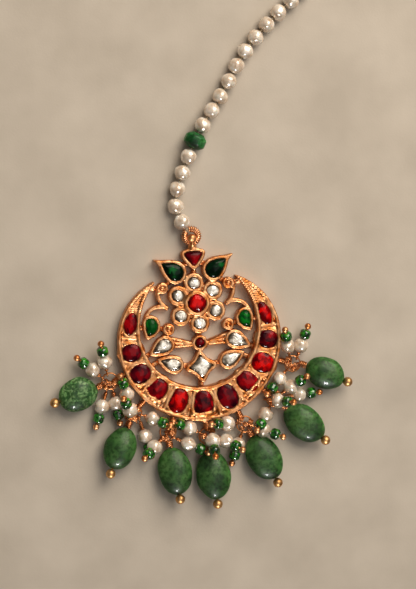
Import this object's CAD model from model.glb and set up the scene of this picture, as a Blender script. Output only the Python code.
# %% [markdown]
# # A maang tikka, dressed in Blender
#
# A maang tikka is a forehead pendant that hangs from a string of pearls. This one is a crescent of
# gold-plated metal with red, green and clear stones, a fringe of small pearl units and seven large
# green drops. Its plain solids come from CAD, at their real size and in their places. Each step
# below takes one kind of piece and gives it the form and the finish that a goldsmith or a bead
# stringer would give it.

# %% Load the solids
import bpy
import bmesh
import random
from math import atan2, cos, degrees, hypot, pi, radians, sin, tan
from mathutils import Matrix, Vector, noise


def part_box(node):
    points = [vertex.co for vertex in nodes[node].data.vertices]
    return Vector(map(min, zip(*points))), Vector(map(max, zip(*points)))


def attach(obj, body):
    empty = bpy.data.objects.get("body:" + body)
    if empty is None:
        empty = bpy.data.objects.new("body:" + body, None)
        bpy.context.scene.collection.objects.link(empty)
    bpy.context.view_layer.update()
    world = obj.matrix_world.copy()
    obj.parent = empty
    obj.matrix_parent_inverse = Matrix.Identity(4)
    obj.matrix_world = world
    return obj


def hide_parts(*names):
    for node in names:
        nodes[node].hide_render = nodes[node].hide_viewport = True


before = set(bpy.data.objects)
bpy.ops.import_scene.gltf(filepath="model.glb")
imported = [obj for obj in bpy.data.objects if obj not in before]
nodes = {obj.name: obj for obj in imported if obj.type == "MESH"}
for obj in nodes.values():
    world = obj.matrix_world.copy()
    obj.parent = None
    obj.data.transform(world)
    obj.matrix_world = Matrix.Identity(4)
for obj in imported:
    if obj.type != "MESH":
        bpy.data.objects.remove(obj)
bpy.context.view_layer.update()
MM = 0.001             # sizes below are in millimetres, and this turns them into metres
UP = Vector((0, 0, 1))
print("CAD nodes:", len(nodes))

# %% [markdown]
# ## Colours and shader nodes
#
# A finish is a small tree of shader nodes. It could be wired by hand in the Shader Editor, but
# written down it can be read, repeated and changed. Colours are sRGB hex values, as a painter's
# swatch gives them, and one function turns them into the linear values that a shader expects. Add
# makes any kind of node, with its settings and its links. Nearly every finish here is noise, read
# by a colour ramp and pressed in as a bump, so these three have short functions of their own.

# %% Colours
def colour(swatch):
    """An sRGB hex colour as linear red, green, blue and alpha."""
    channels = [int(swatch[i:i + 2], 16) / 255 for i in (1, 3, 5)]
    return [c / 12.92 if c <= 0.04045 else ((c + 0.055) / 1.055) ** 2.4 for c in channels] + [1.0]


print("mid grey, linear:", round(colour("#808080")[0], 3))

# %% Nodes and materials
def plug(node, inputs):
    """Set a node's sockets by name or number, or link them where the value is itself a socket."""
    for name, value in inputs.items():
        if isinstance(value, bpy.types.NodeSocket):
            node.id_data.links.new(value, node.inputs[name])
        else:
            node.inputs[name].default_value = value


def add(tree, kind, out, inputs=None, **settings):
    """Add a shader node with its settings and inputs, and return its output socket."""
    node = tree.nodes.new("ShaderNode" + kind)
    for name, value in settings.items():
        setattr(node, name, value)
    plug(node, inputs or {})
    return node.outputs[out]


def new_material(name):
    """A material, its tree, its Principled shader, and the place on the piece as a socket."""
    material = bpy.data.materials.new(name)
    material.use_nodes = True
    tree = material.node_tree
    return material, tree, tree.nodes["Principled BSDF"], add(tree, "TexCoord", "Object")


def per_mm(size):
    """The scale of a pattern whose blotches are about size millimetres across."""
    return 1 / (size * MM)


def mottle(tree, place, size, detail, distortion=0.0, **settings):
    """Noise in blotches about size millimetres across."""
    return add(tree, "TexNoise", "Fac", {"Vector": place, "Scale": per_mm(size), "Detail": detail,
                                         "Distortion": distortion}, **settings)


def ramp(tree, value, *stops):
    """A colour ramp over a value, by (position, swatch)."""
    shade = add(tree, "ValToRGB", "Color", {"Fac": value})
    elements = shade.node.color_ramp.elements
    while len(elements) < len(stops):
        elements.new(0.5)
    for element, (position, swatch) in zip(elements, stops):
        element.position = position
        element.color = colour(swatch)
    return shade


def bump(tree, height, depth, strength=1.0):
    """A normal that shows a height as a relief of depth millimetres."""
    return add(tree, "Bump", "Normal", {"Height": height, "Distance": depth * MM,
                                        "Strength": strength})


print("scale of a pattern 2 mm across:", per_mm(2))

# %% [markdown]
# ## The metals
#
# The pendant is brass, cast and soldered, with a warm, copper-rich gold plating that was burnished
# by hand. A metal's colour is in its reflection, so it is fully metallic and keeps the default IOR.
# The skin wanders between two shades, in blotches as wide as a stroke of the burnisher, and between
# bright ridges and matt hollows that hold brown polishing dirt. Noise gives the wandering, and the
# surface's own pointiness finds the hollows, which a painted map would have to follow by hand. Real
# scratches are too fine to show, so the grain is drawn 0.2 to 0.5 mm wide. The fringe is strung on
# a redder, harder wire, and the drops' ball ends have a browner, older skin.

# %% Gold plating
def gilt(name, light, dark, dirt, rough_low, rough_high, grain, grain_depth):
    """A gold plating: two shades in soft blotches, dirt in the hollows, and a burnished grain."""
    material, tree, shader, place = new_material(name)
    blotches = mottle(tree, place, 1.6, detail=4)
    plating = ramp(tree, blotches, (0.35, dark), (0.65, light))
    pointed = add(tree, "NewGeometry", "Pointiness")
    hollows = ramp(tree, pointed, (0.42, dirt), (0.5, "#ffffff"))
    worn = add(tree, "Mix", 2, {"Factor": 0.85, 6: plating, 7: hollows},
               data_type="RGBA", blend_type="MULTIPLY")
    polish = mottle(tree, place, 0.7, detail=3)
    rough = add(tree, "MapRange", "Result", {"Value": polish, "From Min": 0.3, "From Max": 0.7,
                                             "To Min": rough_low, "To Max": rough_high})
    grit = mottle(tree, place, grain, detail=3)
    burnish = bump(tree, grit, grain_depth)
    plug(shader, {"Base Color": worn, "Metallic": 1.0, "Roughness": rough, "Normal": burnish})
    return material


# two shades, the dirt, the lowest and highest roughness, and the grain's width and depth in mm
gold = gilt("gold-plated brass, burnished", "#dca676", "#b86c34", "#421c06", 0.34, 0.5, 0.4, 0.03)
ball_gold = gilt("gold-plated brass, aged", "#cca06a", "#a07446", "#503014", 0.34, 0.5, 0.5, 0.03)
wire_gold = gilt("copper-gilt wire, drawn", "#e09c68", "#b06c3c", "#421c08", 0.26, 0.4, 0.2, 0.02)
purl_gold = gilt("gilt purl wire, coiled", "#f0b485", "#c88858", "#6b3a1a", 0.25, 0.35, 0.2, 0.02)
print("metals:", [metal.name for metal in (gold, ball_gold, wire_gold, purl_gold)])

# %% [markdown]
# ## The coloured stones
#
# The red stones are glass rubies over foil. Light goes through the glass, meets the crumpled foil
# and comes back from some patches only, so a stone shows bright and nearly black areas side by
# side. Clear glass over a modelled foil would need long renders and would be lost in an export, so
# the patches are in the base colour: Voronoi cells are the facets of the foil, noise is its glow,
# and the stone's own depth attribute lets the rim go dark. A thin coat is the polished top. How
# bright a stone is depends on its foil, so the rubies and the emeralds share one function.

# %% Glass over foil
def foiled_glass(name, deep, middle, bright, share, patch):
    """Coloured glass over crumpled foil; with a higher share more of the stone lights up."""
    material, tree, shader, place = new_material(name)
    creases = add(tree, "TexVoronoi", "Color", {"Vector": place, "Scale": per_mm(patch)})
    facet = add(tree, "SeparateColor", 0, {0: creases})
    glow = mottle(tree, place, 2.6, detail=1)
    inward = add(tree, "Attribute", "Fac", attribute_name="depth")
    lit = add(tree, "Math", 0, {0: facet, 1: 0.3, 2: glow}, operation="MULTIPLY_ADD")
    lit = add(tree, "Math", 0, {0: inward, 1: 0.3, 2: lit}, operation="MULTIPLY_ADD")
    start = 1.2 - 0.6 * share      # the more lights up, the sooner the ramp leaves its dark end
    shade = ramp(tree, lit, (start - 0.24, deep), (start, middle), (start + 0.17, bright))
    waves = mottle(tree, place, 1.2, detail=1)
    skin = bump(tree, waves, 0.04)
    plug(shader, {"Base Color": shade, "Roughness": 0.16, "IOR": 1.48, "Specular IOR Level": 0.05,
                  "Coat Weight": 0.12, "Coat Roughness": 0.04, "Normal": skin})
    return material


# three shades, the share that sets how much lights up, and the foil facets' width in mm
ruby_bright = foiled_glass("glass ruby, bright foil", "#380004", "#800206", "#d80a06", 0.75, 1.0)
ruby_middle = foiled_glass("glass ruby, dull foil", "#280006", "#62030c", "#9c060e", 0.72, 1.0)
ruby_deep = foiled_glass("glass ruby, no foil", "#20000a", "#540410", "#7c0610", 0.75, 1.0)
emerald_deep = foiled_glass("bottle-green glass", "#020f07", "#05220e", "#0c5a22", 0.55, 1.2)
emerald_bright = foiled_glass("green glass, bright foil", "#022a0c", "#064c16", "#107c20",
                              0.75, 1.0)
print("rubies:", [ruby.name for ruby in (ruby_bright, ruby_middle, ruby_deep)])

# %% [markdown]
# ## The clear stones
#
# The clear stones are kundan: flat, uncut crystal over silver foil. The eye sees a white that goes
# grey at the rim and along the creases where the foil was pressed in. A mirror under real glass
# would reflect the studio and little else. A part-metallic base with grey streaks, under a glassy
# coat, gives the same silvery white from every side.

# %% Crystal over silver
def silver_foiled():
    """Uncut crystal over silver foil, creased where it was pressed in."""
    material, tree, shader, place = new_material("uncut crystal over silver foil")
    streaks = mottle(tree, place, 2.4, detail=2, distortion=1.2)
    inward = add(tree, "Attribute", "Fac", attribute_name="depth")
    clear = add(tree, "Math", 0, {0: inward, 1: 0.52, 2: streaks}, operation="MULTIPLY_ADD")
    shade = ramp(tree, clear, (0.46, "#3c3229"), (0.6, "#857a6c"), (0.71, "#ece2d2"),
                 (0.88, "#fffaf0"))
    creased = bump(tree, streaks, 0.3)
    plug(shader, {"Base Color": shade, "Metallic": 0.35, "Roughness": 0.16, "IOR": 1.5,
                  "Coat Weight": 0.8, "Coat Roughness": 0.04, "Normal": creased})
    return material


kundan = silver_foiled()
print("clear stones:", kundan.name)

# %% [markdown]
# ## The beads
#
# Pearls are nacre: many thin layers, so light goes a little way in and comes back soft, under a
# small bright highlight. Subsurface scattering gives the softness and a strong, sharp coat the
# highlight. The large drops are green quartz, cloudy and crossed by paler healed cracks. Light
# wanders far through it, so it is nearly all subsurface, with clouds, specks and veins in its
# colour. The small green beads are clear moulded glass. It shows as light and dark bands, which
# cost far less as colour than as refraction.

# %% Nacre
def nacre():
    """Cream nacre with faint warm and cool patches."""
    material, tree, shader, place = new_material("freshwater pearl, natural")
    overtone = mottle(tree, place, 1.4, detail=2)
    shade = ramp(tree, overtone, (0.3, "#c8ae94"), (0.5, "#e2d0bb"), (0.72, "#faf3e8"))
    ridges = mottle(tree, place, 0.9, detail=2)
    skin = bump(tree, ridges, 0.08)
    plug(shader, {"Base Color": shade, "Metallic": 0.15, "Roughness": 0.25, "IOR": 1.6,
                  "Coat Weight": 1.0, "Coat Roughness": 0.08, "Coat IOR": 1.7,
                  "Subsurface Weight": 0.35, "Subsurface Scale": 1.0 * MM,
                  "Subsurface Radius": (1.0, 0.8, 0.6), "Normal": skin})
    return material


pearl = nacre()
print("pearls:", pearl.name)

# %% Green quartz
def quartz(name, dark, body, pale, vein, veining, cloud):
    """Cloudy green quartz: dark specks, pale clouds and thin healed cracks."""
    material, tree, shader, place = new_material(name)
    clouds = mottle(tree, place, cloud, detail=4, distortion=0.8)
    cloudy = ramp(tree, clouds, (0.38, dark), (0.5, body), (0.63, pale))
    dust = mottle(tree, place, 0.7, detail=3)
    specks = ramp(tree, dust, (0.38, "#7c9470"), (0.54, "#ffffff"))
    speckled = add(tree, "Mix", 2, {"Factor": 0.7, 6: cloudy, 7: specks},
                   data_type="RGBA", blend_type="MULTIPLY")
    cracks = mottle(tree, place, 6, detail=4, distortion=1.4,
                    noise_type="RIDGED_MULTIFRACTAL")
    veins = ramp(tree, cracks, (0.5, "#000000"), (0.95, vein))
    veined = add(tree, "Mix", 2, {"Factor": veining, 6: speckled, 7: veins},
                 data_type="RGBA", blend_type="SCREEN")
    waves = mottle(tree, place, 2.2, detail=2)
    skin = bump(tree, waves, 0.06)
    plug(shader, {"Base Color": veined, "Roughness": 0.42, "IOR": 1.54, "Specular IOR Level": 0.15,
                  "Coat Weight": 0.13, "Coat Roughness": 0.06, "Subsurface Weight": 1.0,
                  "Subsurface Scale": 5 * MM, "Subsurface Radius": (0.3, 1.0, 0.4), "Normal": skin})
    return material


# three shades, the veins' shade and strength, and the clouds' width in mm
quartz_deep = quartz("green quartz, tumbled", "#2a4a24", "#3a602e", "#4e743c", "#84a468", 0.36, 4.5)
quartz_pale = quartz("green quartz, speckled", "#2e522c", "#446838", "#7a9c66", "#b4ca98", 0.4, 0.8)
cloudy_glass = quartz("green glass, cloudy", "#0e3d1a", "#1f6430", "#5f9a62", "#9cc79a", 0.3, 4.5)
print("cloudy greens:", [green.name for green in (quartz_deep, quartz_pale, cloudy_glass)])

# %% Moulded glass
def bead_glass():
    """Clear green moulded glass: light falls through it in bands, a third of a bead wide."""
    material, tree, shader, place = new_material("green moulded glass")
    bands = mottle(tree, place, 0.8, detail=1)
    shade = ramp(tree, bands, (0.35, "#05240a"), (0.5, "#0e5212"), (0.68, "#36901e"))
    plug(shader, {"Base Color": shade, "Roughness": 0.1, "IOR": 1.52,
                  "Coat Weight": 0.7, "Coat Roughness": 0.03})
    return material


green_glass = bead_glass()
print("rondelles:", green_glass.name)

# %% [markdown]
# ## From solids to pieces
#
# A CAD node is one mesh of loose triangles, and a node of beads holds many solids. A new bead or
# pin needs to know where each of them sits. That could be typed in as numbers, but read from the
# mesh it follows any change to the part: each solid is found by walking from corner to corner, and
# gives its middle and its reach along any line. The solids come sorted, so the random turns that
# are dealt out later fall on the same pieces in every run.

# %% Reading solids
WELD = 0.002           # corners closer than this are one corner


def merged(name):
    """A CAD node as a bmesh in millimetres, its loose triangles joined."""
    bm = bmesh.new()
    bm.from_mesh(nodes[name].data)
    bmesh.ops.scale(bm, vec=(1 / MM,) * 3, verts=bm.verts)
    bmesh.ops.remove_doubles(bm, verts=bm.verts, dist=WELD)
    return bm


def solids(name):
    """The points of each separate solid of a CAD node, in millimetres, always in the same order."""
    bm = merged(name)
    seen, found = set(), []
    for first in bm.verts:
        if first in seen:
            continue
        seen.add(first)
        reached = [first]
        for vert in reached:
            for other in [edge.other_vert(vert) for edge in vert.link_edges]:
                if other not in seen:
                    seen.add(other)
                    reached.append(other)
        found.append(sorted(tuple(vert.co) for vert in reached))
    bm.free()
    return [[Vector(point) for point in points] for points in sorted(found)]


def middle(points):
    """The middle of a solid's box."""
    return Vector([(min(p[i] for p in points) + max(p[i] for p in points)) / 2 for i in range(3)])


ring_middles = [middle(points) for points in solids("gather_rings")]
print("gather rings:", len(ring_middles))

# %% Finishing a piece
def axes(x, y, z):
    """A turn that lays the local axes along three directions."""
    return Matrix((x, y, z)).transposed().to_4x4()


def placed(name, data):
    """A new object in the scene."""
    thing = bpy.data.objects.new(name, data)
    bpy.context.scene.collection.objects.link(thing)
    return thing


def finish_piece(bm, name, material, replaces=(), smooth=True):
    """Turn a bmesh in millimetres into a finished piece at the origin that rides on the jewel."""
    bmesh.ops.recalc_face_normals(bm, faces=bm.faces)
    bmesh.ops.scale(bm, vec=(MM,) * 3, verts=bm.verts)
    for face in bm.faces:
        face.smooth = smooth
    mesh = bpy.data.meshes.new(name)
    bm.to_mesh(mesh)
    bm.free()
    piece = placed(name, mesh)
    mesh.materials.append(material)
    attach(piece, "root")
    if replaces:
        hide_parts(*replaces)
    print(f"{name}: {sum(len(p.vertices) - 2 for p in mesh.polygons)} triangles")
    return piece


print("materials ready:", len(bpy.data.materials))

# %% [markdown]
# ## Pins and what is on them
#
# A headpin is a wire with an eye at one end and a ball at the other, and the beads of the fringe
# are threaded on it. The CAD gives each pin as one plain solid. The eye is the end that lies nearer
# to a gather ring, the line between the ends is the pin's axis, and each bead's middle lies on
# that line. Knowing this, every new piece can be made along one straight local axis and turned into
# place, which is far easier than modelling it where it lies.

# %% One headpin
EYE_RADIUS, EYE_WIRE = 0.65, 0.15
SMALL_BALL, LARGE_BALL = 0.7, 1.0
TIP_ZONE = 0.35        # how far from a pin's tip its end is taken to reach


class Pin:
    """One headpin: its eye, its direction, its ball and the beads on it."""

    def __init__(self, points, ball_radius):
        tips = self.tips(points)
        near = min(tips, key=lambda tip: min((tip - ring).length for ring in ring_middles))
        far = tips[0] if near is tips[1] else tips[1]
        self.along = (far - near).normalized()
        reach = [point.dot(self.along) for point in points]
        centre = near + (far - near) / 2
        start = centre + self.along * (min(reach) - centre.dot(self.along))
        end = centre + self.along * (max(reach) - centre.dot(self.along))
        self.eye = start + self.along * (EYE_RADIUS + EYE_WIRE)
        self.ball = end - self.along * ball_radius
        self.side = UP.cross(self.along).normalized()
        self.up = self.along.cross(self.side)
        self.beads = []

    @staticmethod
    def tips(points):
        """The middles of a long solid's two ends."""
        first = max(points, key=lambda p: (p - points[0]).length)
        second = max(points, key=lambda p: (p - first).length)
        axis = (second - first).normalized()
        return [middle([p for p in points if (p - tip).dot(axis) * sign < TIP_ZONE])
                for tip, sign in ((first, 1), (second, -1))]

    def matrix(self):
        """Local X along the pin and Z up, with the origin in the eye."""
        return Matrix.Translation(self.eye) @ axes(self.along, self.side, self.up)

    def miss(self, points):
        """How far a bead's middle lies off this pin's axis."""
        offset = middle(points) - self.eye
        return (offset - self.along * offset.dot(self.along)).length

    def span(self, points):
        """Where a bead starts and ends along this pin, counted from the eye."""
        reach = [(point - self.eye).dot(self.along) for point in points]
        return min(reach), max(reach)


unit_pins = [Pin(points, SMALL_BALL) for points in solids("unit_pins")]
drop_pins = [Pin(points, LARGE_BALL) for points in solids("drop_pins")]
print("headpins:", len(unit_pins), "small and", len(drop_pins), "large")

# %% Beads find their pins
# Where two pins' lines cross, the bead belongs to the one whose eye is about 4 mm away.
USUAL_REACH, REACH_WEIGHT = 4, 0.02


def thread_beads(pins, name):
    """Give each bead of a node to the pin that runs through it."""
    for points in solids(name):
        pin = min(pins, key=lambda p: p.miss(points) + REACH_WEIGHT
                  * abs((middle(points) - p.eye).length - USUAL_REACH))
        pin.beads.append((name, *pin.span(points), points))


thread_beads(unit_pins, "unit_pearls")
thread_beads(unit_pins, "unit_rondelles")
for number in range(1, 8):
    thread_beads(drop_pins, f"green_drop_{number}")
print("beads on unit pins:", sorted(len(pin.beads) for pin in unit_pins))
print("beads on drop pins:", sorted(len(pin.beads) for pin in drop_pins))

# %% [markdown]
# ## Wire work
#
# A headpin is closed by bending its end into an eye and winding the tail round the neck. A winding
# is a screw: a small circle of wire section that is spun round the pin while it moves along it. A
# curve with a bevel could draw it too, but would have to be turned into a mesh afterwards. The spin
# operator makes the mesh at once, with its step along the axis.

# %% Rings, windings, rods and balls
def edges_of(verts):
    """The edges at some points, each one once and always in the same order."""
    return list(dict.fromkeys(edge for vert in verts for edge in vert.link_edges))


def wire_ring(bm, matrix, radius, wire, sides=6, steps=18):
    """A closed ring of wire about the local Z axis."""
    section = matrix @ Matrix.Translation((radius, 0, 0)) @ Matrix.Rotation(pi / 2, 4, "X")
    made = bmesh.ops.create_circle(bm, segments=sides, radius=wire, matrix=section)["verts"]
    bmesh.ops.spin(bm, geom=made + edges_of(made), cent=matrix.translation,
                   axis=matrix.to_3x3() @ UP, angle=2 * pi, steps=steps, use_merge=True)


def winding(bm, matrix, radius, wire, start, end, turns, sides=6, steps_per_turn=12):
    """Wire wound round the local X axis from start to end, both ends closed."""
    section = Matrix.Translation((start, radius, 0))
    made = bmesh.ops.create_circle(bm, segments=sides, radius=wire, matrix=section)["verts"]
    before = set(bm.verts) - set(made)
    steps = max(4, round(turns * steps_per_turn))
    bmesh.ops.spin(bm, geom=made + edges_of(made), cent=(0, 0, 0), axis=(1, 0, 0),
                   dvec=((end - start) / steps, 0, 0), angle=2 * pi * turns, steps=steps)
    wound = [vert for vert in bm.verts if vert not in before]
    open_edges = [edge for edge in edges_of(wound) if edge.is_boundary]
    bmesh.ops.holes_fill(bm, edges=open_edges, sides=sides)
    bmesh.ops.transform(bm, matrix=matrix, verts=wound)


def rod(bm, matrix, start, end, radius, sides=8):
    """A straight round wire along local X."""
    upright = (matrix @ Matrix.Translation(((start + end) / 2, 0, 0))
               @ Matrix.Rotation(pi / 2, 4, "Y"))
    bmesh.ops.create_cone(bm, cap_ends=True, segments=sides, radius1=radius, radius2=radius,
                          depth=end - start, matrix=upright)


def ball(bm, place, radius, sides):
    """A smooth ball."""
    bmesh.ops.create_uvsphere(bm, u_segments=sides, v_segments=sides // 2, radius=radius,
                              matrix=Matrix.Translation(place))


print("wire tools: ring, winding, rod and ball")

# %% Headpins
WRAP_WIRE, SHANK = 0.16, 0.2               # radius of the wound tail and of the straight wire
NECK_RADIUS, LOOSE_RADIUS = 0.32, 0.68     # how far the tail's middle line stands off the axis
LOOSE_LENGTH, LOOSE_TURNS = 1.4, 3.6       # over a large drop the last turns stand off the neck
NECK_PITCH, BEAD_GAP = 2.1 * WRAP_WIRE, 0.12
rng = random.Random(7)

for pins, name in ((unit_pins, "unit_pins"), (drop_pins, "drop_pins")):
    wires = bmesh.new()
    for pin in pins:
        matrix = pin.matrix()
        wire_ring(wires, matrix @ Matrix.Rotation(pi / 2, 4, "X"), EYE_RADIUS, EYE_WIRE)
        lean = matrix @ Matrix.Rotation(rng.uniform(-pi, pi), 4, "X")
        neck_start = EYE_RADIUS + WRAP_WIRE
        neck_end = min(start for _, start, _, _ in pin.beads) - BEAD_GAP
        if pins is drop_pins:
            loose = neck_end - LOOSE_LENGTH
            winding(wires, lean, LOOSE_RADIUS, WRAP_WIRE, loose, neck_end, LOOSE_TURNS)
            neck_end = loose
        turns = max(2, round((neck_end - neck_start) / NECK_PITCH))
        winding(wires, lean, NECK_RADIUS, WRAP_WIRE, neck_start, neck_end, turns)
        rod(wires, matrix, EYE_RADIUS, (pin.ball - pin.eye).length, SHANK)
    finish_piece(wires, f"{name}_wire", wire_gold, [name])

# %% Ball ends
SMALL_GAIN, LARGE_GAIN = 1.05, 1.08        # the real balls are a little fuller than the solids
small_balls, large_balls = bmesh.new(), bmesh.new()
for pin in unit_pins:
    ball(small_balls, pin.ball, SMALL_GAIN * SMALL_BALL, sides=16)
for pin in drop_pins:
    ball(large_balls, pin.ball, LARGE_GAIN * LARGE_BALL, sides=24)
finish_piece(small_balls, "unit_ball_ends", gold)
finish_piece(large_balls, "drop_ball_ends", ball_gold)

# %% [markdown]
# ## Pearls, rondelles and drops
#
# A bead is drilled, so it is a ring in section, however round it looks: a closed outline spun about
# its hole. A ball with a hole cut by a boolean would leave a ragged lip. Pearls are then pushed a
# little out of round, since freshwater pearls never are. Rondelles keep their facets under softened
# edges, and the drops are flattened, as tumbled stones are.

# %% Spinning a bead
def spun_bead(bm, matrix, outline, steps, flatten=1.0, phase=0.0):
    """Spin a closed outline of (along, radius) points about local X. Returns the new points."""
    verts = [bm.verts.new((x, 0, radius)) for x, radius in outline]
    edges = [bm.edges.new(pair) for pair in zip(verts, verts[1:] + verts[:1])]
    before = set(bm.verts) - set(verts)
    bmesh.ops.spin(bm, geom=verts + edges, cent=(0, 0, 0), axis=(1, 0, 0), angle=2 * pi,
                   steps=steps, use_merge=True)
    made = [vert for vert in bm.verts if vert not in before]
    turn = matrix @ Matrix.Diagonal((1, 1, flatten, 1)) @ Matrix.Rotation(phase, 4, "X")
    bmesh.ops.transform(bm, matrix=turn, verts=made)
    return made


def round_outline(start, end, radius, bore, count=14):
    """An oval bead's outline from hole to hole, closed through the hole."""
    centre, half = (start + end) / 2, (end - start) / 2
    lip = half * (1 - (bore / radius) ** 2) ** 0.5
    turns = [pi * step / count for step in range(1, count)]
    skin = [(centre - cos(turn) * half, max(bore, sin(turn) * radius)) for turn in turns]
    return [(centre - lip, bore)] + skin + [(centre + lip, bore)]


def faceted_outline(start, end, radius, bore, drop, slope):
    """A flat-ended bead's outline: its corners are cut by drop in radius over slope in length."""
    return [(start, bore), (start, radius - drop), (start + slope, radius),
            (end - slope, radius), (end, radius - drop), (end, bore)]


print("a round outline has", len(round_outline(0, 3, 1.5, 0.3)), "corners")

# %% Shaping a bead
# For each kind of bead: how far from its middle its skin begins, and how deep and wide dents are.
FRINGE_DENTS, STRING_DENTS, DROP_DENTS = (0.6, 0.3, 1.3), (1.0, 0.22, 1.6), (1.2, 0.22, 3.6)


def push(verts, centre, dents, seed):
    """Push a bead's skin in and out by smooth noise, but not the walls of its hole."""
    begin, depth, width = dents
    shift = Vector((seed, 0, 0))       # another place in the noise for each bead
    for vert in verts:
        out = vert.co - centre
        if out.length > begin:
            vert.co += out.normalized() * depth * noise.noise(vert.co / width + shift)


def soften(bm, sharp, offset, segments):
    """Round every edge that turns by more than sharp radians."""
    bmesh.ops.recalc_face_normals(bm, faces=bm.faces)
    corners = [edge for edge in bm.edges if edge.calc_face_angle(0) > sharp]
    bmesh.ops.bevel(bm, geom=corners, offset=offset, offset_type="OFFSET", segments=segments,
                    profile=0.5, affect="EDGES", material=-1)


print("dents, mm:", [dents[1] for dents in (FRINGE_DENTS, STRING_DENTS, DROP_DENTS)])

# %% Fringe pearls and rondelles
BORE = 0.33
PEARL_GAIN, PEARL_STRETCH = 1.13, 0.12     # the real pearls are a little fuller than the solids
RONDELLE_GAIN, RONDELLE_EDGE = 1.06, 0.45

unit_pearls, rondelles = bmesh.new(), bmesh.new()
for pin in unit_pins:
    for name, start, end, points in pin.beads:
        radius = max((p - pin.eye).dot(pin.side) for p in points)
        if name == "unit_pearls":
            outline = round_outline(start - PEARL_STRETCH, end + PEARL_STRETCH,
                                    radius * PEARL_GAIN, BORE)
            skin = spun_bead(unit_pearls, pin.matrix(), outline, steps=20)
            push(skin, pin.eye + pin.along * (start + end) / 2, FRINGE_DENTS, seed=start)
        else:
            outline = faceted_outline(start, end, radius * RONDELLE_GAIN, BORE,
                                      RONDELLE_EDGE, RONDELLE_EDGE)
            spun_bead(rondelles, pin.matrix(), outline, steps=12, phase=rng.uniform(0, pi))
finish_piece(unit_pearls, "unit_pearls_nacre", pearl, ["unit_pearls"])
soften(rondelles, sharp=0.45, offset=0.18, segments=2)
finish_piece(rondelles, "unit_rondelles_glass", green_glass, ["unit_rondelles"])

# %% Large drops
PALE_DROPS = ("green_drop_1",)
DROP_BORE = 0.5
for pin in drop_pins:
    name, start, end, points = pin.beads[0]
    width = max(abs((p - pin.eye).dot(pin.side)) for p in points)
    thickness = max(abs((p - pin.eye).dot(pin.up)) for p in points)
    drop = bmesh.new()
    outline = round_outline(start, end, width, DROP_BORE, count=36)
    skin = spun_bead(drop, pin.matrix(), outline, steps=56, flatten=thickness / width)
    push(skin, pin.eye + pin.along * (start + end) / 2, DROP_DENTS, seed=start * 3)
    recipe = quartz_pale if name in PALE_DROPS else quartz_deep
    finish_piece(drop, f"{name}_quartz", recipe, [name])

# %% [markdown]
# ## The string
#
# The pearls of the string lie one after the other on a thread, like beads on any necklace. Laid
# along a curve they would all be alike, so each is spun and pushed for itself. Its direction is
# the line from the bead before it to the bead after it. One green bead is larger and faceted.

# %% String of pearls
STRING_BORE = 0.5
GREEN_DROP, GREEN_SLOPE = 1.1, 0.88        # how deep and how long the green bead's facets are
string = sorted([(middle(points), "pearl", points) for points in solids("string_pearls")]
                + [(middle(points), "green", points) for points in solids("string_green_bead")],
                key=lambda bead: bead[0].y)
string_pearls, green_bead = bmesh.new(), bmesh.new()
for number, (centre, kind, points) in enumerate(string):
    before = string[max(0, number - 1)][0]
    after = string[min(len(string) - 1, number + 1)][0]
    along = (after - before).normalized()
    side = UP.cross(along).normalized()
    matrix = Matrix.Translation(centre) @ axes(along, side, along.cross(side))
    half = max((p - centre).dot(along) for p in points)
    radius = max((p - centre).dot(side) for p in points)
    if kind == "pearl":
        outline = round_outline(-half, half, radius, STRING_BORE, count=16)
        skin = spun_bead(string_pearls, matrix, outline, steps=24)
        push(skin, centre, STRING_DENTS, seed=number)
    else:
        outline = faceted_outline(-half, half, radius, STRING_BORE, GREEN_DROP, GREEN_SLOPE)
        spun_bead(green_bead, matrix, outline, steps=9, phase=0.3)
finish_piece(string_pearls, "string_pearls_nacre", pearl, ["string_pearls"])
soften(green_bead, sharp=0.3, offset=0.25, segments=3)
finish_piece(green_bead, "string_bead_glass", cloudy_glass,
             ["string_green_bead"])

# %% [markdown]
# ## Gather rings, loose wire and purl
#
# A gather ring is a double turn of wire, like a small key ring. The loops that carry them are wound
# with wire, and loose tails cross where the pins meet, as on any hand-wired fringe. All of it is
# more of the same winding. The purl ring is a tight spring of fine wire that is slipped over the
# thread. One long screw bent into a ring would be hard to close, so it is one small slanted ring,
# repeated round the circle.

# %% Gather rings
RING_RADIUS, RING_WIRE, RING_TURNS = 1.76, 0.17, 2.1
rings = bmesh.new()
for ring in ring_middles:
    upright = (Matrix.Translation(ring) @ Matrix.Rotation(rng.uniform(0, 2 * pi), 4, "Z")
               @ Matrix.Rotation(-pi / 2, 4, "Y"))
    winding(rings, upright, RING_RADIUS, RING_WIRE, -RING_WIRE, RING_WIRE, RING_TURNS,
            steps_per_turn=24)
finish_piece(rings, "gather_rings_wire", wire_gold, ["gather_rings"])

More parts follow.
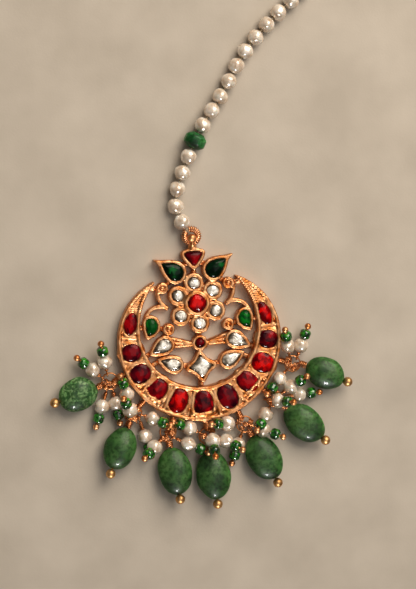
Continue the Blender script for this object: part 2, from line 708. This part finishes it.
# %% Wound loops and loose tails
LOOP_START, LOOP_END = 18.5, 20.3      # a soldered loop's wound part, from the pendant's middle
LOOP_RADIUS, LOOP_WIRE, LOOP_TURNS, LOOP_SQUASH = 0.95, 0.2, 4.3, 0.62
TAILS, TAIL_WIRE, TAIL_HALF = 6, 0.13, 0.45
TAIL_SPREAD, TAIL_TILT = 1.2, 0.7      # how far a tail lies from its ring's middle and leans over
tails = bmesh.new()
for ring in ring_middles:
    outward = Vector((ring.x, ring.y, 0)).normalized()
    loop = (Matrix.Translation((0, 0, ring.z)) @ axes(outward, UP.cross(outward), UP)
            @ Matrix.Diagonal((1, LOOP_SQUASH, 1, 1)))
    winding(tails, loop, LOOP_RADIUS, LOOP_WIRE, LOOP_START, LOOP_END, LOOP_TURNS,
            steps_per_turn=14)
    for _ in range(TAILS):
        spot = ring + Vector((rng.uniform(-TAIL_SPREAD, TAIL_SPREAD),
                              rng.uniform(-TAIL_SPREAD, TAIL_SPREAD), rng.uniform(0.2, 1.4)))
        heading = Matrix.Rotation(rng.uniform(0, 2 * pi), 4, "Z")
        tilt = heading @ Matrix.Rotation(rng.uniform(-TAIL_TILT, TAIL_TILT), 4, "Y")
        winding(tails, Matrix.Translation(spot) @ tilt, rng.uniform(0.5, 0.75), TAIL_WIRE,
                -TAIL_HALF, TAIL_HALF, rng.uniform(2.2, 3.4))
finish_piece(tails, "wire_tails", wire_gold)

# %% Purl ring
COIL_RADIUS, COIL_WIRE, COIL_SLANT = 0.55, 0.2, 0.22
COILS, FIRST_COIL, PURL_ARC = 21, 142, 318     # how many, and in degrees where and how far round
PURL_INSET = 0.4                               # the coils' middles from the plain ring's outside

purl_low, purl_high = (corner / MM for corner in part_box("purl_ring"))
purl_middle = (purl_low + purl_high) / 2
purl_radius = (purl_high.x - purl_low.x) / 2 - PURL_INSET
purl = bmesh.new()
coil = (Matrix.Translation(purl_middle) @ Matrix.Rotation(radians(FIRST_COIL), 4, "Z")
        @ Matrix.Translation((purl_radius, 0, 0)) @ Matrix.Rotation(pi / 2 - COIL_SLANT, 4, "X"))
wire_ring(purl, coil, COIL_RADIUS, COIL_WIRE, steps=14)
bmesh.ops.spin(purl, geom=purl.verts[:] + purl.edges[:] + purl.faces[:], cent=purl_middle,
               axis=UP, angle=radians(PURL_ARC), steps=COILS, use_duplicate=True)
finish_piece(purl, "purl_ring_coil", purl_gold, ["purl_ring"])

# %% [markdown]
# ## The gold frame
#
# The casting has no sharp edges: every rim was rubbed down over its stone by hand. Bevels on the
# CAD mesh would round each edge alike. Here the exact frame gets its walls of gold round the
# stones, and crumbs of gold foil where the foil was pushed unevenly over a stone. A voxel remesh
# melts all of it into one skin, and a few rounds of smoothing give the softness. Last, tool marks
# are pressed in: small dents everywhere, and short strokes across the two horns.

# %% Where the stones sit
# The crescent's stones were set by hand. Each is moved (x, y) in millimetres within its pocket, and
# made larger outwards and along the crescent.
SETTING = {"crescent_ruby_1": (0, 0.1, 1.14, 1.05), "crescent_ruby_2": (-0.1, -0.5, 1.16, 1.0),
           "crescent_ruby_3": (-0.3, 0.1, 1.06, 1.04), "crescent_ruby_4": (-0.55, 0.35, 1.08, 1.0),
           "crescent_ruby_5": (-0.6, 0.3, 1.08, 0.97), "crescent_ruby_6": (-0.35, -0.1, 1.16, 1.02),
           "crescent_ruby_7": (-0.1, 0.2, 1.12, 1.02), "crescent_ruby_8": (0, 0.2, 1.08, 1.02),
           "crescent_ruby_9": (0.1, 0, 1.14, 1.14), "crescent_ruby_10": (-0.1, -0.2, 1.22, 1.02),
           "crescent_ruby_11": (-0.15, -0.15, 1.1, 1.16)}
AS_MODELLED = (0, 0, 1, 1)


def girdle(name):
    """A stone's widest outline, in order round its middle, and that middle."""
    bm = merged(name)
    level = sorted({round(vert.co.z, 2) for vert in bm.verts})[1]     # the foot is the lowest
    corners = [vert.co.copy() for vert in bm.verts if abs(vert.co.z - level) < 0.02]
    bm.free()
    centre = sum(corners, Vector()) / len(corners)
    shift_x, shift_y, outward, along = SETTING.get(name, AS_MODELLED)
    shift = Vector((shift_x, shift_y, 0))
    out = centre.xy.normalized().to_3d()
    across = UP.cross(out)
    corners = [centre + out * (p - centre).dot(out) * outward
               + across * (p - centre).dot(across) * along + shift for p in corners]
    centre = centre + shift
    return sorted(corners, key=lambda p: atan2(p.y - centre.y, p.x - centre.x)), centre


print("corners of the flower's stone:", len(girdle("flower_ruby")[0]))

# %% Bezels and crumbs of foil
WALL_FOOT = 1.2                        # a bezel starts inside the frame's plate
CRUMBS, CRUMB_STEP = 8, 0.04           # how many along a stone, and radians between them
CRUMB_EDGE, CRUMB_LEVEL = 2.3, 2.65    # from a stone's middle to its edge, and above the back


def bezel(bm, name, width, top):
    """A wall of gold round a stone: its outline, a wider one, and the band between them raised."""
    corners, centre = girdle(name)
    loops = []
    for out in (0.0, width):
        feet = [(p + (p - centre).normalized() * out).xy for p in corners]
        verts = [bm.verts.new((*foot, WALL_FOOT)) for foot in feet]
        loops += [bm.edges.new(pair) for pair in zip(verts, verts[1:] + verts[:1])]
    band = bmesh.ops.bridge_loops(bm, edges=loops)["faces"]
    for item in bmesh.ops.extrude_face_region(bm, geom=band)["geom"]:
        if isinstance(item, bmesh.types.BMVert):
            item.co.z = top + rng.uniform(-0.05, 0.05)


def crumbs(bm, name, side):
    """Foil crumbs along the outer (1) or inner (-1) edge of one crescent stone."""
    centre = girdle(name)[1]
    angle = atan2(centre.y, centre.x)
    distance = hypot(centre.x, centre.y) + side * CRUMB_EDGE
    for step in range(CRUMBS):
        turn = angle + (step - (CRUMBS - 1) / 2) * CRUMB_STEP
        reach = distance - side * rng.uniform(0, 0.7)
        spot = Vector((cos(turn) * reach, sin(turn) * reach, CRUMB_LEVEL + rng.uniform(0, 0.25)))
        size = Matrix.Diagonal((1, rng.uniform(0.6, 1.3), 0.6, 1))
        bmesh.ops.create_icosphere(bm, subdivisions=2, radius=rng.uniform(0.36, 0.58),
                                   matrix=Matrix.Translation(spot) @ size)


print("crumbs along a chipped setting:", CRUMBS)

# %% The casting before it is melted
BEZEL_WIDTH, BEZEL_TOP = 0.4, 2.75
BED_WIDTH, HORN_BED_WIDTH, BED_TOP = 0.85, 0.6, 2.58
HORN_STONES = (1, 11)
CHIPPED = {4: 1, 6: 1, 8: 1}           # the settings with broken foil, and on which side
FLOWER_PLATE, PLATE_LIP, PLATE_HEIGHT, PLATE_LEVEL = 3.6, 0.3, 1.1, 1.45
BAIL_LUMP, LUMP_RADIUS = Vector((0.0, 22.2, 2.4)), 0.92
BAIL_NECK, NECK_FOOT, NECK_TOP, NECK_LENGTH = Vector((0.0, 20.6, 1.9)), 1.0, 0.55, 1.9

casting = merged("frame")
for number in range(1, 12):
    bed_width = HORN_BED_WIDTH if number in HORN_STONES else BED_WIDTH
    bezel(casting, f"crescent_ruby_{number}", bed_width, BED_TOP)
    bezel(casting, f"crescent_ruby_{number}", BEZEL_WIDTH, BEZEL_TOP)
for number, side in CHIPPED.items():
    crumbs(casting, f"crescent_ruby_{number}", side)
plate_middle = girdle("flower_ruby")[1].xy.to_3d() + UP * PLATE_LEVEL
bmesh.ops.create_cone(casting, cap_ends=True, segments=32, radius1=FLOWER_PLATE,
                      radius2=FLOWER_PLATE - PLATE_LIP, depth=PLATE_HEIGHT,
                      matrix=Matrix.Translation(plate_middle))
bmesh.ops.create_icosphere(casting, subdivisions=3, radius=LUMP_RADIUS,
                           matrix=Matrix.Translation(BAIL_LUMP))
bmesh.ops.create_cone(casting, cap_ends=True, segments=16, radius1=NECK_FOOT, radius2=NECK_TOP,
                      depth=NECK_LENGTH,
                      matrix=Matrix.Translation(BAIL_NECK) @ Matrix.Rotation(-pi / 2, 4, "X"))
print("faces before the melt:", len(casting.faces))

# %% Melting it into one skin
VOXEL = 0.16
SMOOTHINGS = 3

bmesh.ops.scale(casting, vec=(MM,) * 3, verts=casting.verts)
rough_mesh = bpy.data.meshes.new("casting")
casting.to_mesh(rough_mesh)
casting.free()
rough = placed("casting", rough_mesh)
remesh = rough.modifiers.new("melt", "REMESH")
remesh.mode = "VOXEL"
remesh.voxel_size = VOXEL * MM
melted = bpy.data.meshes.new_from_object(rough.evaluated_get(bpy.context.evaluated_depsgraph_get()))
bpy.data.objects.remove(rough)

casting = bmesh.new()
casting.from_mesh(melted)
bmesh.ops.scale(casting, vec=(1 / MM,) * 3, verts=casting.verts)
for _ in range(SMOOTHINGS):
    bmesh.ops.smooth_vert(casting, verts=casting.verts, factor=0.5, use_axis_x=True,
                          use_axis_y=True, use_axis_z=True)
casting.normal_update()
print("faces after the melt:", len(casting.faces))

# %% Tool marks
SWELL = 0.1                            # gives back what the smoothing took off
DENTS = ((0.06, 1.1), (0.03, 0.45))    # depth and width of the hammer's and the file's marks
LAST_RIB, HORN_RADIUS, HORN_TIP = 28.0, 14.2, 13.6     # the horns start here, in degrees and mm
STROKE_PITCH, STROKE_SLANT, STROKE_DEPTH = 2.4, 2.5, 0.08   # degrees, degrees per mm, mm
KEPT_FACES = 0.55                      # the melted skin is finer than its forms need

for vert in casting.verts:
    x, y, z = vert.co
    dent = SWELL + sum(deep * noise.noise(vert.co / wide) for deep, wide in DENTS)
    angle, distance = degrees(atan2(y, abs(x))), hypot(x, y)
    on_horn = angle > LAST_RIB and distance > HORN_RADIUS and y < HORN_TIP
    if on_horn and vert.normal.z > 0.6:
        dent += STROKE_DEPTH * sin((angle + distance * STROKE_SLANT) / STROKE_PITCH * 2 * pi)
    vert.co += vert.normal * dent
gilt_frame = finish_piece(casting, "frame_gilt", gold, ["frame"])
gilt_frame.modifiers.new("thin", "DECIMATE").ratio = KEPT_FACES

# %% [markdown]
# ## Growing the stones
#
# The foiled stones are domed and polished, and none is quite regular. Each could be sculpted, or
# cut from a block by planes. It is quicker, and fits its setting exactly, to grow it on the outline
# of its own CAD solid: the outline is extruded ring by ring, each ring smaller and higher, and a
# subdivided skin polishes the dome. The clear stones are uncut, so their low rings are nudged to
# give an uneven top. Each corner keeps how far in it lies, and the two glass finishes read that.

# %% Crown profiles
OUTLINE_GAIN = 1.05    # the subdivision draws an outline in by about this much
STONE_ROOT = 0.9       # how far a stone goes down into its pocket below its widest outline
DOME = [(cos(radians(turn)), 0.75 * sin(radians(turn))) for turn in (20, 38, 56, 74, 86)]
LOW_DOME = [(0.94, 0.18), (0.78, 0.34), (0.5, 0.42), (0.22, 0.46)]
FACETED = [(0.86, 0.28), (0.55, 0.5)]
print("rings of a polished stone:", len(DOME), "and of an uncut one:", len(LOW_DOME))

# %% One stone
def stone(name, material, profile, uneven=0.0, smooth=True):
    """Grow a stone on its own girdle: each (share, height) of the profile is one ring."""
    corners, centre = girdle(name)
    bm = bmesh.new()
    depth = bm.verts.layers.float.new("depth")
    bm.faces.new([bm.verts.new(centre + (p - centre) * OUTLINE_GAIN - UP * STONE_ROOT)
                  for p in corners])
    ring = bm.edges[:]
    for share, height in [(1.0, 0.0)] + profile:
        grown = bmesh.ops.extrude_edge_only(bm, edges=ring)["geom"]
        ring = [item for item in grown if isinstance(item, bmesh.types.BMEdge)]
        for vert in dict.fromkeys(vert for edge in ring for vert in edge.verts):
            vert[depth] = 1 - share
            heading = (vert.co - centre).xy.normalized()
            source = max(corners, key=lambda p: (p - centre).xy.normalized().dot(heading))
            vert.co = centre + (source - centre) * share * OUTLINE_GAIN + UP * height
            vert.co += Vector([rng.uniform(-uneven, uneven) * (1 - share) * 2 for _ in range(3)])
    bmesh.ops.contextual_create(bm, geom=ring)
    piece = finish_piece(bm, f"{name}_cut", material, [name], smooth=smooth)
    if smooth:
        skin = piece.modifiers.new("polish", "SUBSURF")
        skin.levels = skin.render_levels = 2
    return piece


def polished(name, material):
    """A domed stone."""
    return stone(name, material, DOME)


def uncut(name, uneven=0.1):
    """A flat clear stone with an uneven top."""
    return stone(name, kundan, LOW_DOME, uneven)


# %% All the stones
BRIGHT_RUBIES = (5, 9, 11)
DEEP_RUBIES = (2, 3, 7)
for number in range(1, 12):
    recipe = (ruby_bright if number in BRIGHT_RUBIES else
              ruby_deep if number in DEEP_RUBIES else ruby_middle)
    polished(f"crescent_ruby_{number}", recipe)
polished("crown_ruby", ruby_middle)
polished("small_ruby", ruby_middle)
stone("flower_ruby", ruby_bright, FACETED, 0.06, smooth=False)
for side in ("right", "left"):
    polished(f"leaf_emerald_{side}", emerald_deep)
    polished(f"half_drop_emerald_{side}", emerald_bright)
    uncut(f"upper_pear_stone_{side}")
    uncut(f"lower_pear_stone_{side}")
for petal in range(1, 7):
    uncut(f"petal_stone_{petal}")
uncut("star_stone", 0.06)

# %% [markdown]
# ## Thread and hook
#
# The thread is twisted silk, and the hook is one plain bent wire. Both are simple enough for CAD to
# have their true shapes, so they aren't made again and only get a finish. Silk is soft and matt,
# with a faint sheen. Its real strands are too fine to show, so they are drawn as slanting bands
# about half a millimetre apart. A wave texture fits more than two of them into its unit of 1.2 mm.

# %% Silk and gold on the CAD pieces
def silk():
    """Twisted silk: fine light and dark strands across the thread."""
    material, tree, shader, place = new_material("twisted silk thread")
    strands = add(tree, "TexWave", "Fac", {"Vector": place, "Scale": per_mm(1.2),
                                           "Distortion": 1.5}, bands_direction="DIAGONAL")
    shade = ramp(tree, strands, (0.2, "#a58a63"), (0.8, "#e0cfac"))
    twist = bump(tree, strands, 0.05)
    plug(shader, {"Base Color": shade, "Roughness": 0.75, "Sheen Weight": 0.3, "Normal": twist})
    return material


for name, material in (("thread", silk()), ("hair_hook", gold)):
    nodes[name].data.materials.clear()
    nodes[name].data.materials.append(material)
    print(f"{name}: {material.name}")

# %% [markdown]
# ## The table
#
# The jewel lies on a plain sheet of warm, handmade paper. One flat face is enough for it: faint
# clouds in its colour and a fine bump give the grain. Real fibres are too fine to show, so they are
# drawn 0.5 mm wide.

# %% Paper
TABLE_HALF = 0.6       # metres from the table's middle to its edge


def paper():
    """Matt handmade paper: a fine fibre grain and faint clouds."""
    material, tree, shader, place = new_material("handmade paper, matt")
    clouds = mottle(tree, place, 14, detail=3)
    shade = ramp(tree, clouds, (0.3, "#b6ab9c"), (0.7, "#c6bbac"))
    fibres = mottle(tree, place, 0.5, detail=3)
    grain = bump(tree, fibres, 0.05, strength=0.5)
    plug(shader, {"Base Color": shade, "Roughness": 0.9, "Normal": grain})
    return material


sheet = bmesh.new()
bmesh.ops.create_grid(sheet, x_segments=1, y_segments=1, size=TABLE_HALF)
sheet_mesh = bpy.data.meshes.new("table")
sheet.to_mesh(sheet_mesh)
sheet.free()
table = placed("table", sheet_mesh)
sheet_mesh.materials.append(paper())
print("table, m across:", 2 * TABLE_HALF)

# %% [markdown]
# ## The camera
#
# The camera looks almost straight down, as at a jewel on a table, from a little to the left and a
# little above. It is turned by a few degrees, so the pendant stands upright in the view. Its matrix
# is built from three directions: one towards the camera, one up the view and one across it.

# %% Camera
VIEW_MIDDLE = Vector((2.6, 9.6, 2.2)) * MM
VIEW_HEIGHT = 129.3 * MM
LENS, SENSOR = 85, 36
VIEW_TURN = radians(4.5)
VIEW_LEAN, VIEW_TILT = radians(8), radians(4)     # how far it stands to the left and to the top

view_right = Vector((cos(VIEW_TURN), -sin(VIEW_TURN), 0))
view_up = Vector((sin(VIEW_TURN), cos(VIEW_TURN), 0))
back = (UP - view_right * tan(VIEW_LEAN) + view_up * tan(VIEW_TILT)).normalized()
level = (view_up - back * view_up.dot(back)).normalized()
camera = placed("camera", bpy.data.cameras.new("camera"))
camera.data.lens = LENS
camera.data.sensor_fit = "VERTICAL"
camera.data.sensor_height = SENSOR
camera.data.clip_start = 0.01
distance = VIEW_HEIGHT * LENS / SENSOR
camera.matrix_world = (Matrix.Translation(VIEW_MIDDLE + back * distance)
                       @ axes(level.cross(back), level, back))
bpy.context.scene.camera = camera
print("camera distance, mm:", round(distance / MM))

# %% [markdown]
# ## The lights
#
# A large soft window from the upper right models the forms and lays soft shadows to the lower left.
# A ceiling light fills them. A jewel also needs something small and bright to mirror, so a little
# lamp stands beyond the lower edge. It would throw a second set of shadows, so it is hidden from
# matt surfaces and shows as a spark on pearls, drops and stones alone.

# %% Lamps
def soft_light(name, azimuth, elevation, distance, size, power, tint):
    """A square light that faces the pendant; azimuth 0 is the view's right and 90 its top."""
    azimuth, elevation = radians(azimuth), radians(elevation)
    flat = view_right * cos(azimuth) + view_up * sin(azimuth)
    aim = flat * cos(elevation) + UP * sin(elevation)
    lamp = placed(name, bpy.data.lights.new(name, "AREA"))
    lamp.data.size = size
    lamp.data.energy = power
    lamp.data.color = colour(tint)[:3]
    turn = aim.to_track_quat("Z", "Y").to_matrix().to_4x4()
    lamp.matrix_world = Matrix.Translation(aim * distance) @ turn
    return lamp


# azimuth and elevation in degrees, distance and size in metres, power in watts
soft_light("window", 60, 43, 0.7, 0.5, 5.4, "#fff4e6")
soft_light("ceiling", 20, 72, 0.8, 0.6, 1.3, "#ffffff")
spark = soft_light("spark", -88, 36, 0.5, 0.08, 2.4, "#ffffff")
spark.visible_diffuse = False
print("lamps:", [lamp.name for lamp in bpy.data.lights])

# %% The studio round the table
world = bpy.data.worlds.new("studio")
bpy.context.scene.world = world
world.use_nodes = True
plug(world.node_tree.nodes["Background"], {"Color": colour("#cfc6ba"), "Strength": 0.2})
bpy.context.scene.view_settings.view_transform = "Standard"
print("world:", world.name)
